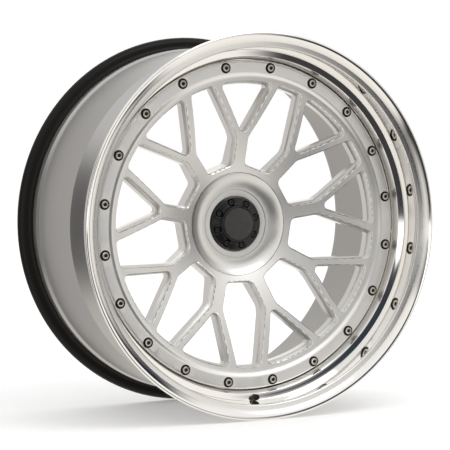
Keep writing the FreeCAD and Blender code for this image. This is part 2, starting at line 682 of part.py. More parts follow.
def valve_core():
    """Screw-in core body that guides the pin."""
    return valve_tube(VALVE_PIN_R + 0.15, VALVE_CORE_BORE_R, VALVE_CORE_FRONT_Y, VALVE_CORE_BACK_Y)


def valve_core_pin():
    """Pin with a collar in front of its spring and a sealing plate behind the core."""
    plate_y = VALVE_CORE_BACK_Y + 0.2
    pin = valve_rod(VALVE_PIN_R, VALVE_TIP_Y + 0.1, plate_y)
    collar = valve_rod(1.2, VALVE_COLLAR_Y - 0.4, VALVE_COLLAR_Y)
    return pin.fuse([collar, valve_rod(1.4, plate_y, plate_y + 0.7)]).removeSplitter()


def valve_spring():
    """Return spring of the pin, as a thin tube from the core's front to the pin's collar."""
    return valve_tube(VALVE_PIN_R + 0.2, 1.15, VALVE_COLLAR_Y, VALVE_CORE_FRONT_Y)


def valve_cap():
    """Screw-on dust cap with a ribbed grip."""
    cap = valve_rod(VALVE_CAP_R, VALVE_CAP_TOP_Y, VALVE_CAP_RIM_Y)
    crown = min(cap.Edges, key=lambda e: e.CenterOfMass.y if len(e.Vertexes) == 1 else 1e9)
    cap = cap.makeFillet(CAP_ROUND, [crown])
    cap = cap.cut(valve_rod(VALVE_STEM_R + 0.1, VALVE_TIP_Y - CAP_ROOM, VALVE_CAP_RIM_Y + 1))
    groove = rod(CAP_RIB_R, VALVE_CAP_TOP_Y + 1.6, VALVE_CAP_RIM_Y + 1, x=VALVE_CAP_R, z=VALVE_Z)
    grooves = []
    for i in range(CAP_RIB_COUNT):
        turned_groove = groove.copy()
        turned_groove.rotate(V(0, 0, VALVE_Z), AXLE, i * 360.0 / CAP_RIB_COUNT)
        grooves.append(turned_groove)
    return cap.cut(grooves)


def valve_cap_seal():
    """Rubber washer inside the cap."""
    return valve_tube(1.2, VALVE_STEM_R, VALVE_TIP_Y - CAP_ROOM, VALVE_TIP_Y - 0.1)


PIECES = {
    "centre_disc": centre_disc,
    "outer_lip": outer_lip,
    "inner_barrel": inner_barrel,
    "joint_sealant": joint_sealant,
    "assembly_bolts": assembly_bolts,
    "bolt_washers": bolt_washers,
    "assembly_nuts": assembly_nuts,
    "hub_cover": hub_cover,
    "cover_o_ring": cover_o_ring,
    "centre_plug": centre_plug,
    "plug_screws": plug_screws,
    "plug_backing_ring": plug_backing_ring,
    "badge_disc": badge_disc,
    "badge_clip": badge_clip,
    "valve_stem": valve_stem,
    "valve_seal": valve_seal,
    "valve_nut": valve_nut,
    "valve_core": valve_core,
    "valve_core_pin": valve_core_pin,
    "valve_spring": valve_spring,
    "valve_cap": valve_cap,
    "valve_cap_seal": valve_cap_seal,
}


def main():
    """Builds every piece and writes one STEP file for each."""
    os.makedirs("parts", exist_ok=True)
    for name, build in PIECES.items():
        shape = build()
        if not shape.isValid():
            print(name, "is not valid")
        print(f"{name}: {len(shape.Solids)} solids, {shape.Volume / 1000:.1f} cm3")
        shape.exportStep(f"parts/{name}.step")


if __name__ == "__main__":
    main()
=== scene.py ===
"""Looks of a three-piece forged racing wheel, dressed around its packed engineering model.

The wheel's axle line is the Y axis, its street side faces -Y, and all lengths are in metres. Lathe-turned
pieces are rebuilt here as surfaces of revolution, and milled pieces keep their engineering shape with
smoothed shading. Every finish is a procedural material in the pieces' own coordinates.
"""

import logging
import math
from dataclasses import dataclass
from enum import Enum
from typing import Any, Sequence

import bmesh
import bpy
import numpy as np
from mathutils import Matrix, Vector


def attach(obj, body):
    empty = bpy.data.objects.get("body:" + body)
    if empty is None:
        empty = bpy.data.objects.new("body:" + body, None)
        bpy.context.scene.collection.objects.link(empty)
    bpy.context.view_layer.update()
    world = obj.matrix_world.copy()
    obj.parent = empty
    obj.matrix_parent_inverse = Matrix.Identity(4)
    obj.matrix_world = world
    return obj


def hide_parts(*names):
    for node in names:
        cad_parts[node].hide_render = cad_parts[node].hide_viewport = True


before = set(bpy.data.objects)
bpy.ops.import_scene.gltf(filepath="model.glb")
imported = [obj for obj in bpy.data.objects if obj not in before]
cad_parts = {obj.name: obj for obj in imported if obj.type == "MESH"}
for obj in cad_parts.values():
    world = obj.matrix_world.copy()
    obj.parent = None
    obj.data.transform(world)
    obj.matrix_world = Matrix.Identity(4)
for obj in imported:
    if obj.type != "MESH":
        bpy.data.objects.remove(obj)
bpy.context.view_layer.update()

MM = 0.001
WELD = 1e-6
TINY = 1e-7
RELIEF = 0.1 * MM
LOG = logging.getLogger("wheel")
Corner = tuple[float, float, float]
Colour = tuple[float, float, float]
Span = tuple[float, float]


# ---------------------------------------------------------------- shader sockets and nodes
class Wire:
    """One number in a node tree, with Python operators that add Math nodes."""

    def __init__(self, bench: "Bench", socket: Any) -> None:
        """Wraps one output socket of the bench's tree."""
        self.bench = bench
        self.socket = socket

    def math(self, operation: str, *others: Any, clamp: bool = False) -> "Wire":
        """Adds one Math node.

        Args:
            operation: The Math node's operation.
            others: Further operands, wires or plain numbers.
            clamp: Whether the result is kept between 0 and 1.

        Returns:
            The node's result.
        """
        values = {0: self}
        values.update({place + 1: other for place, other in enumerate(others)})
        return self.bench.node("ShaderNodeMath", {"operation": operation, "use_clamp": clamp}, values)

    def __add__(self, other: Any) -> "Wire":
        """Sum."""
        return self.math("ADD", other)

    def __mul__(self, other: Any) -> "Wire":
        """Product."""
        return self.math("MULTIPLY", other)

    def __sub__(self, other: Any) -> "Wire":
        """Difference."""
        return self.math("SUBTRACT", other)

    def __truediv__(self, other: Any) -> "Wire":
        """Quotient."""
        return self.math("DIVIDE", other)

    def __pow__(self, other: Any) -> "Wire":
        """Power."""
        return self.math("POWER", other)

    def __rsub__(self, other: float) -> "Wire":
        """Number minus wire."""
        return (self * -1.0) + other

    __radd__ = __add__
    __rmul__ = __mul__

    def __abs__(self) -> "Wire":
        """Size without its sign."""
        return self.math("ABSOLUTE")

    def ramp(self, low: float, high: float) -> "Wire":
        """Smooth step from 0 at low to 1 at high; low may be the larger of the two.

        Args:
            low: Input where the result is 0.
            high: Input where the result is 1.

        Returns:
            The stepped value.
        """
        settings = {"interpolation_type": "SMOOTHSTEP"}
        if low <= high:
            return self.bench.node("ShaderNodeMapRange", settings, {0: self, 1: low, 2: high})
        return self.bench.node("ShaderNodeMapRange", settings, {0: self, 1: high, 2: low, 3: 1.0, 4: 0.0})


class Bench:
    """A node tree under construction, with one method that adds any kind of node."""

    def __init__(self, tree: Any) -> None:
        """Takes an empty node tree."""
        self.tree = tree

    def node(self, kind: str, settings: dict[str, Any], values: dict[Any, Any], out: Any = 0) -> Wire:
        """Adds a node.

        Args:
            kind: The node's type.
            settings: Attributes set before any socket.
            values: Numbers, colours or wires, by input name or place.
            out: Name or place of the output to return.

        Returns:
            The chosen output.
        """
        made = self.tree.nodes.new(kind)
        for name, setting in settings.items():
            setattr(made, name, setting)
        for place, value in values.items():
            if isinstance(value, Wire):
                self.tree.links.new(value.socket, made.inputs[place])
            else:
                made.inputs[place].default_value = value
        return Wire(self, made.outputs[out] if len(made.outputs) else None)

    def mix(self, share: Any, first: Any, second: Any) -> Wire:
        """Blends two colours.

        Args:
            share: 0 for the first colour, 1 for the second.
            first: Colour or wire.
            second: Colour or wire.

        Returns:
            The blended colour.
        """
        pair = [(*c, 1.0) if isinstance(c, tuple) and len(c) == 3 else c for c in (first, second)]
        return self.node("ShaderNodeMix", {"data_type": "RGBA"}, {0: share, 6: pair[0], 7: pair[1]}, 2)

    def noise(self, vector: Wire, scale: float, detail: float = 2.0) -> Wire:
        """Fractal noise between 0 and 1 at a place.

        Args:
            vector: Place to read.
            scale: Cells per metre.
            detail: Number of finer layers.

        Returns:
            The noise value.
        """
        return self.node("ShaderNodeTexNoise", {}, {"Vector": vector, "Scale": scale, "Detail": detail})

    def join(self, x: Any, y: Any, z: Any) -> Wire:
        """Vector from three numbers."""
        return self.node("ShaderNodeCombineXYZ", {}, {0: x, 1: y, 2: z})


class WheelSpace:
    """Cylindrical coordinates of a point on a piece, about the axle line."""

    def __init__(self, bench: Bench) -> None:
        """Reads object coordinates and works out the radius."""
        self.place = bench.node("ShaderNodeTexCoord", {}, {}, "Object")
        self.x = bench.node("ShaderNodeSeparateXYZ", {}, {0: self.place}, 0)
        self.y = bench.node("ShaderNodeSeparateXYZ", {}, {0: self.place}, 1)
        self.z = bench.node("ShaderNodeSeparateXYZ", {}, {0: self.place}, 2)
        self.radius = (self.x * self.x + self.z * self.z) ** 0.5


def shaded(colour: Colour, share: float, offset: float = 0.0) -> Colour:
    """Colour times a share, kept below white, with a small offset for near blacks."""
    return tuple(min(1.0, value * share + offset) for value in colour)


# ---------------------------------------------------------------- finishes
@dataclass(frozen=True)
class Finish:
    """What every finish has: a name and the numbers that are the same all over it.

    Attributes:
        name: Name of the material.
        colour: Base colour.
        metallic: 1 for bare metal, 0 for paint, rubber and plastic.
        roughness: Mean roughness.
        coat: Weight of the clear coat.
        coat_roughness: Roughness of the clear coat.
        specular: Strength of the reflection of unmetallic parts.
    """

    name: str
    colour: Colour
    metallic: float = 1.0
    roughness: float = 0.3
    coat: float = 0.0
    coat_roughness: float = 0.08
    specular: float = 0.5

    def paint(self, bench: Bench, space: WheelSpace) -> dict[str, Any]:
        """Values for the surface shader's varying inputs.

        Args:
            bench: Where nodes are added.
            space: The wheel's coordinates.

        Returns:
            Wires and numbers by socket name.
        """
        raise NotImplementedError

    def material(self) -> bpy.types.Material:
        """Builds the material."""
        made = bpy.data.materials.new(self.name)
        made.use_nodes = True
        made.diffuse_color = (*self.colour, 1.0)
        made.node_tree.nodes.clear()
        bench = Bench(made.node_tree)
        values = {
            "Base Color": (*self.colour, 1.0),
            "Metallic": self.metallic,
            "Roughness": self.roughness,
            "Coat Weight": self.coat,
            "Coat Roughness": self.coat_roughness,
            "Specular IOR Level": self.specular,
        }
        values.update(self.paint(bench, WheelSpace(bench)))
        shader = bench.node("ShaderNodeBsdfPrincipled", {}, values)
        bench.node("ShaderNodeOutputMaterial", {"is_active_output": True}, {0: shader})
        return made


def turned_lines(bench: Bench, space: WheelSpace, pitch: float, waver: float = 6.0) -> Wire:
    """Uneven concentric tool lines: noise read along radius and y, and almost not round the wheel.

    Args:
        bench: Where nodes are added.
        space: The wheel's coordinates.
        pitch: Mean distance between lines.
        waver: Cells per metre in which the lines change round the wheel.

    Returns:
        Line height between 0 and 1.
    """
    along = 1.0 / pitch
    place = bench.join(space.radius * along + space.x * waver, space.y * along, space.z * waver)
    return bench.noise(place, 1.0, 3.0)


@dataclass(frozen=True)
class SatinForging(Finish):
    """Machined and fine-blasted forging under a thin clear coat, with turned lines on its bolted ring.

    Attributes:
        ring_start: Radius where the turned lines begin.
        ring_rise: Length over which they grow.
        ring_pitch: Mean distance between them.
        grain: Cells of the blasted grain per metre.
        cloud: Cells of the slow changes of tone per metre.
        wall_lean: Share of the normal along the axle from which a face counts as a milled wall or bevel.
        wall_polish: How much smoother those are than the front.
    """

    ring_start: float = 0.2085
    ring_rise: float = 4 * MM
    ring_pitch: float = 0.45 * MM
    grain: float = 2600.0
    cloud: float = 26.0
    wall_lean: Span = (0.96, 0.75)
    wall_polish: float = 0.20

    def paint(self, bench: Bench, space: WheelSpace) -> dict[str, Any]:
        """Fine grain everywhere, tool lines growing towards the ring, brighter milled walls and bevels."""
        grain = bench.noise(space.place, self.grain, 1.0)
        cloud = bench.noise(space.place, self.cloud, 2.0)
        lines = turned_lines(bench, space, self.ring_pitch)
        on_ring = space.radius.ramp(self.ring_start, self.ring_start + self.ring_rise)
        tone = cloud * 0.6 + grain * 0.25 + lines * (on_ring * 0.9 + 0.15)
        normal = bench.node("ShaderNodeTexCoord", {}, {}, "Normal")
        facing = abs(bench.node("ShaderNodeSeparateXYZ", {}, {0: normal}, 1))
        milled = facing.ramp(*self.wall_lean)
        dark, light = shaded(self.colour, 0.93), shaded(self.colour, 1.05)
        height = grain * 0.35 + lines * (on_ring * 0.8 + 0.2)
        bump = bench.node("ShaderNodeBump", {}, {"Strength": 0.06, "Distance": RELIEF, "Height": height})
        return {
            "Base Color": bench.mix(tone.ramp(0.25, 1.35), dark, light),
            "Roughness": cloud * 0.06 + grain * 0.05 - on_ring * 0.05 - milled * self.wall_polish
            + (self.roughness - 0.05),
            "Normal": bump,
        }


@dataclass(frozen=True)
class MirrorPolish(Finish):
    """Hand-polished aluminium: near mirror, with faint polishing haze round the wheel.

    Attributes:
        crown_r: Radii between which the flange's outer edge turns from satin to polished.
        crown_y: The same along the axle line.
        outside_r: Radii between which the tyre side begins.
        well_y: Along the axle line, where the turned back of the lip begins.
        well_r: Radii between which that back begins.
        dullness: Share of the polished colour that the satin parts keep.
    """

    crown_r: Span = (0.2745, 0.2725)
    crown_y: Span = (-0.1335, -0.1225)
    outside_r: Span = (0.2515, 0.2535)
    well_y: Span = (-0.0885, -0.0865)
    well_r: Span = (0.2372, 0.2378)
    dullness: float = 0.82

    def paint(self, bench: Bench, space: WheelSpace) -> dict[str, Any]:
        """Haze and hairlines in roughness, and a satin tyre side behind the flange's crown."""
        lines = turned_lines(bench, space, 0.9 * MM, 3.0)
        haze = bench.noise(space.place, 18.0, 3.0)
        behind_crown = space.radius.ramp(*self.crown_r) * space.y.ramp(*self.crown_y)
        tyre_side = behind_crown * space.radius.ramp(*self.outside_r)
        well = space.y.ramp(*self.well_y) * space.radius.ramp(*self.well_r)
        satin = tyre_side.math("MAXIMUM", well)
        polished = haze * 0.03 + lines * 0.03 + self.roughness
        dull = shaded(self.colour, self.dullness)
        bump = bench.node("ShaderNodeBump", {}, {"Strength": 0.006, "Distance": RELIEF, "Height": lines})
        return {
            "Base Color": bench.mix(satin, self.colour, dull),
            "Roughness": polished + satin * 0.3,
            "Normal": bump,
        }


@dataclass(frozen=True)
class TwoToneBarrel(Finish):
    """Satin aluminium barrel whose vehicle-side flange is painted black on the outside.

    Attributes:
        black: Colour of the paint.
        black_y: Along the axle line, where the paint begins.
        black_roughness: Roughness of the paint.
        outside_r: Radii between which the tyre side begins.
    """

    black: Colour = (0.012, 0.011, 0.010)
    black_y: Span = (0.1119, 0.1131)
    black_roughness: float = 0.3
    outside_r: Span = (0.2515, 0.2535)

    def paint(self, bench: Bench, space: WheelSpace) -> dict[str, Any]:
        """Black beyond the bead seat, satin with turned lines elsewhere."""
        lines = turned_lines(bench, space, 0.6 * MM)
        cloud = bench.noise(space.place, 14.0, 2.0)
        black = space.y.ramp(*self.black_y) * space.radius.ramp(*self.outside_r)
        dark, light = shaded(self.colour, 0.88), shaded(self.colour, 1.1)
        satin = bench.mix(lines * 0.5 + cloud * 0.5, dark, light)
        bump = bench.node("ShaderNodeBump", {}, {"Strength": 0.1, "Distance": RELIEF, "Height": lines})
        return {
            "Base Color": bench.mix(black, satin, self.black),
            "Metallic": 1.0 - black,
            "Roughness": (1.0 - black) * (lines * 0.08 + cloud * 0.06 + self.roughness)
            + black * self.black_roughness,
            "Normal": bump,
        }


@dataclass(frozen=True)
class LatheTurned(Finish):
    """Bright lathe-turned metal with clear concentric tool lines.

    Attributes:
        pitch: Mean distance between tool lines.
        depth: Strength of their relief.
    """

    pitch: float = 0.5 * MM
    depth: float = 0.25

    def paint(self, bench: Bench, space: WheelSpace) -> dict[str, Any]:
        """Tool lines in tone, roughness and height."""
        fine = turned_lines(bench, space, self.pitch)
        broad = turned_lines(bench, space, self.pitch * 7.0)
        cloud = bench.noise(space.place, 60.0, 2.0)
        dark, light = shaded(self.colour, 0.88), shaded(self.colour, 1.07)
        height = fine * 0.7 + broad * 0.5
        relief = {"Strength": self.depth, "Distance": RELIEF, "Height": height}
        bump = bench.node("ShaderNodeBump", {}, relief)
        return {
            "Base Color": bench.mix(fine * 0.6 + broad * 0.3 + cloud * 0.2, dark, light),
            "Roughness": fine * 0.10 + cloud * 0.05 + (self.roughness - 0.07),
            "Normal": bump,
        }


@dataclass(frozen=True)
class Coated(Finish):
    """Moulded, painted or blacked surface with a fine skin texture.

    Attributes:
        grain: Cells of the skin texture per metre.
        depth: Strength of its relief.
        spread: How far roughness wanders.
    """

    grain: float = 1500.0
    depth: float = 0.1
    spread: float = 0.08

    def paint(self, bench: Bench, space: WheelSpace) -> dict[str, Any]:
        """Grain in height, and slow changes of tone and gloss."""
        grain = bench.noise(space.place, self.grain, 2.0)
        cloud = bench.noise(space.place, 120.0, 2.0)
        dark, light = shaded(self.colour, 0.75), shaded(self.colour, 1.3, 0.002)
        bump = bench.node("ShaderNodeBump", {}, {"Strength": self.depth, "Distance": RELIEF, "Height": grain})
        return {
            "Base Color": bench.mix(cloud * 0.7 + grain * 0.3, dark, light),
            "Roughness": cloud * self.spread
            + grain * self.spread * 0.5
            + (self.roughness - self.spread * 0.6),
            "Normal": bump,
        }


@dataclass(frozen=True)
class SocketHead(LatheTurned):
    """Turned bolt or screw head whose hexagon socket is filled with painted shade, on fasteners set in a
    circle about the axle.

    Attributes:
        circle_r: Radius of the circle of fasteners, in metres.
        count: Number of fasteners.
        first_deg: Turn of the first one from +Z.
        socket_r: Radius of the dark socket, in metres.
        dark: Colour of the painted shade inside the socket.
        edge: Half the width of the socket's soft edge.
    """

    circle_r: float = 0.2265
    count: int = 20
    first_deg: float = 9.0
    socket_r: float = 2.75 * MM
    dark: Colour = (0.012, 0.011, 0.010)
    edge: float = 0.15 * MM

    def paint(self, bench: Bench, space: WheelSpace) -> dict[str, Any]:
        """Lathe lines outside the socket, and painted shade, matt near black, inside it.

        The turn about the axle is folded into one fastener's share, so that the distance to the nearest
        fastener's axis is known from the radius and the folded turn.
        """
        values = super().paint(bench, space)
        share = math.tau / self.count
        turn = space.x.math("ARCTAN2", space.z) + (share / 2 - math.radians(self.first_deg) + 2 * math.tau)
        folded = turn.math("FLOORED_MODULO", share) - share / 2
        across = space.radius * folded
        out = space.radius - self.circle_r
        away = (across * across + out * out) ** 0.5
        # Painted shade: the socket's recess is coloured matt near black, standing in for the shade that falls
        # inside it.
        inside = away.ramp(self.socket_r + self.edge, self.socket_r - self.edge)
        values["Base Color"] = bench.mix(inside, values["Base Color"], self.dark)
        values["Metallic"] = 1.0 - inside
        values["Roughness"] = values["Roughness"] * (1.0 - inside) + inside * 0.6
        return values


FORGING = SatinForging("forged_satin", (0.87, 0.86, 0.84), roughness=0.42, coat=0.25, coat_roughness=0.10)
POLISH = MirrorPolish("lip_mirror", (0.90, 0.885, 0.86), roughness=0.035)
BARREL = TwoToneBarrel("barrel_two_tone", (0.52, 0.51, 0.495), roughness=0.32, specular=0.1)
COVER = LatheTurned("cover_turned", (0.78, 0.77, 0.75), roughness=0.33, depth=0.10)
INSIDE_METAL = LatheTurned("inside_turned", (0.52, 0.51, 0.49), roughness=0.34)
BOLT_HEAD = SocketHead("bolt_head", (0.60, 0.56, 0.49), roughness=0.34, pitch=0.3 * MM, depth=0.12)
BOLT_STEEL = LatheTurned("bolt_steel", (0.55, 0.51, 0.44), roughness=0.32, pitch=0.3 * MM, depth=0.15)
NICKEL = LatheTurned("valve_nickel", (0.60, 0.56, 0.48), roughness=0.24, pitch=0.35 * MM, depth=0.25)
GLOSS_BLACK = Coated(
    "plug_black",
    (0.006, 0.006, 0.006),
    0.0,
    0.22,
    coat=0.1,
    specular=0.3,
    grain=900.0,
    depth=0.03,
    spread=0.06,
)
BADGE = Coated("badge_satin", (0.040, 0.038, 0.035), 0.3, 0.42, grain=5200.0, depth=0.22, spread=0.1)
BLACK_STEEL = Coated(
    "washer_black", (0.010, 0.009, 0.008), 0.0, 0.42, specular=0.2, grain=2600.0, depth=0.12, spread=0.1
)
SCREW_BLACK = Coated("screw_black", (0.014, 0.014, 0.014), 0.0, 0.25, specular=0.3, grain=2200.0)
RUBBER = Coated("seal_rubber", (0.018, 0.018, 0.018), 0.0, 0.6, grain=3000.0, depth=0.25, spread=0.1)
SILICONE = Coated(
    "seam_silicone", (0.56, 0.56, 0.54), 0.0, 0.38, coat=0.1, grain=420.0, depth=0.3, spread=0.12
)
CAP_PLASTIC = Coated(
    "cap_plastic", (0.008, 0.008, 0.008), 0.0, 0.45, specular=0.2, grain=4200.0, depth=0.25, spread=0.1
)


# ---------------------------------------------------------------- meshes
def rounded(corners: Sequence[Corner], closed: bool = True) -> np.ndarray:
    """Points of a profile whose corners are replaced by tangent arcs.

    At a corner with rounding q between two straights that meet at angle 2h, the arc starts
    q / tan(h) before the corner, and its points lie on a circle of radius q whose centre is
    q / sin(h) along the bisector.

    Args:
        corners: (radius, y, rounding) in millimetres, in order.
        closed: Whether the last corner joins the first.

    Returns:
        Array of (radius, y) points in metres.
    """
    points: list[np.ndarray] = []
    count = len(corners)
    for place, (radius, y, rounding) in enumerate(corners):
        corner = np.array([radius, y])
        if rounding <= 0 or (not closed and place in (0, count - 1)):
            points.append(corner[None])
            continue
        before = np.array(corners[place - 1][:2]) - corner
        after = np.array(corners[(place + 1) % count][:2]) - corner
        before /= np.linalg.norm(before)
        after /= np.linalg.norm(after)
        half = 0.5 * math.acos(float(np.clip(before @ after, -1, 1)))
        bisector = (before + after) / np.linalg.norm(before + after)
        centre = corner + bisector * rounding / math.sin(half)
        first = corner + before * rounding / math.tan(half) - centre
        last = corner + after * rounding / math.tan(half) - centre
        start, sweep = math.atan2(first[1], first[0]), math.pi - 2 * half
        side = math.copysign(1.0, first[0] * last[1] - first[1] * last[0])
        steps = max(3, int(math.degrees(sweep) / 9) + 2)
        turns = start + side * np.linspace(0, sweep, steps)
        points.append(centre + rounding * np.stack([np.cos(turns), np.sin(turns)], 1))
    return np.concatenate(points) * MM


def circle_through(a: Sequence[float], b: Sequence[float], c: Sequence[float]) -> tuple[np.ndarray, float]:
    """Centre and radius of the circle through three points, from their chords' perpendicular bisectors."""
    first, second, third = (np.array(p) for p in (a, b, c))
    lines = np.array([second - first, third - second])
    middles = np.array([lines[0] @ (first + second) / 2, lines[1] @ (second + third) / 2])
    centre = np.linalg.solve(lines, middles)
    return centre, float(np.linalg.norm(first - centre))


def spread(points: np.ndarray, longest: float) -> np.ndarray:
    """Adds evenly spaced points wherever two neighbours of a closed loop lie further apart than longest."""
    after = np.roll(points, -1, 0)
    cuts = np.maximum(1, np.ceil(np.linalg.norm(after - points, axis=1) / longest).astype(int))
    index = np.repeat(np.arange(len(points)), cuts)
    share = (np.arange(len(index)) - np.repeat(np.cumsum(cuts) - cuts, cuts)) / cuts[index]
    return points[index] + (after - points)[index] * share[:, None]


def mesh_object(
    name: str, points: np.ndarray, faces: np.ndarray, sharp_deg: float = 30.0
) -> bpy.types.Object:
    """Object from arrays, with doubles merged, faces turned outwards and smooth shading.

    Args:
        name: Name of the object.
        points: N x 3 places.
        faces: M x 4 or M x 3 point numbers.
        sharp_deg: Edges that bend more than this stay sharp.

    Returns:
        The object, linked to the scene.
    """
    mesh = bpy.data.meshes.new(name)
    mesh.from_pydata(points, [], faces)
    made = bpy.data.objects.new(name, mesh)
    bpy.context.scene.collection.objects.link(made)
    smooth(mesh, sharp_deg)
    return made


def smooth(mesh: bpy.types.Mesh, sharp_deg: float, outwards: bool = True) -> None:
    """Merges doubles, turns faces outwards and shades the mesh smooth up to an angle.

    Args:
        mesh: The mesh to change.
        sharp_deg: Edges that bend more than this stay sharp.
        outwards: Whether the faces are turned outwards again.
    """
    edit = bmesh.new()
    edit.from_mesh(mesh)
    bmesh.ops.remove_doubles(edit, verts=edit.verts, dist=WELD)
    bmesh.ops.dissolve_degenerate(edit, edges=edit.edges, dist=TINY)
    if outwards:
        bmesh.ops.recalc_face_normals(edit, faces=edit.faces)
    edit.to_mesh(mesh)
    edit.free()
    mesh.shade_smooth()
    mesh.set_sharp_from_angle(angle=math.radians(sharp_deg))


def revolve(name: str, profile: np.ndarray, segments: int = 360, sharp_deg: float = 30.0) -> bpy.types.Object:
    """Closed surface of revolution: each (radius, y) of the profile becomes a circle about the axle line.

    Args:
        name: Name of the object.
        profile: Closed loop of (radius, y) points in metres.
        segments: Steps round the wheel.
        sharp_deg: Edges that bend more than this stay sharp.

    Returns:
        The object.
    """
    turn = np.linspace(0, math.tau, segments, endpoint=False)
    radius, y = profile[:, 0], profile[:, 1]
    points = np.stack(
        [np.outer(np.sin(turn), radius), np.tile(y, (segments, 1)), np.outer(np.cos(turn), radius)], 2
    )
    return mesh_object(name, points.reshape(-1, 3), loop_faces(segments, len(profile)), sharp_deg)


def loop_faces(rows: int, columns: int) -> np.ndarray:
    """Four-sided faces of a grid that closes on itself both ways."""
    row, column = np.meshgrid(np.arange(rows), np.arange(columns), indexing="ij")
    next_row, next_column = (row + 1) % rows, (column + 1) % columns
    corners = [row * columns + column, next_row * columns + column]
    corners += [next_row * columns + next_column, row * columns + next_column]
    return np.stack(corners, 2).reshape(-1, 4)


def cut_away(target: bpy.types.Object, bar: tuple[float, float, float], z: float) -> None:
    """Removes a cylinder parallel to the axle line, straight above or below it, from a piece.

    Args:
        target: Piece to cut.
        bar: The cylinder's radius, its low end and its high end.
        z: Height of its axis.
    """
    radius, y0, y1 = bar
    ends = np.array([[0.0, y0], [radius, y0], [radius, y1], [0.0, y1]])
    tool = revolve("cutter", ends, 48)
    tool.location = (0.0, 0.0, z)
    bpy.context.view_layer.update()
    change = target.modifiers.new("cut", "BOOLEAN")
    change.operation = "DIFFERENCE"
    change.solver = "EXACT"
    change.object = tool
    graph = bpy.context.evaluated_depsgraph_get()
    cut = bpy.data.meshes.new_from_object(target.evaluated_get(graph))
    target.modifiers.remove(change)
    old, target.data = target.data, cut
    bpy.data.meshes.remove(old)
    bpy.data.objects.remove(tool)
    smooth(target.data, 30.0, outwards=False)


class Body(Enum):
    """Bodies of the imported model."""

    WHEEL = "wheel"
    COVER = "cover"
    CAP = "valve_cap"
    PIN = "valve_pin"


def dress(piece: bpy.types.Object, finish: Finish, body: Body, node: str) -> bpy.types.Object:
    """Gives a finished piece its material and its body, and hides the engineering node it stands for.

    Args:
        piece: The piece.
        finish: Its finish.
        body: Body it moves with.
        node: Node it replaces.

    Returns:
        The same piece.
    """
    piece.data.materials.clear()
    piece.data.materials.append(bpy.data.materials.get(finish.name) or finish.material())
    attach(piece, body.value)
    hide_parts(node)
    LOG.info("%s: %d faces on %s", piece.name, len(piece.data.polygons), body.value)
    return piece


def smoothed_node(node: str, sharp_deg: float = 28.0) -> bpy.types.Object:
    """Copy of an engineering node with its triangles joined and shaded smooth.

    Args:
        node: Name of the node.
        sharp_deg: Edges that bend more than this stay sharp.

    Returns:
        The copy, named after the node.
    """
    copy = bpy.data.objects.new(node + ".look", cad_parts[node].data.copy())
    bpy.context.scene.collection.objects.link(copy)
    smooth(copy.data, sharp_deg, outwards=False)
    return copy


def dress_nodes(body: Body, *rows: tuple[str, Finish, str]) -> None:
    """Dresses smoothed copies of engineering nodes.

    Args:
        body: Body they move with.
        rows: Node, finish and material slot of each.
    """
    for node, finish, slot in rows:
        dress(smoothed_node(node), finish, body, node)


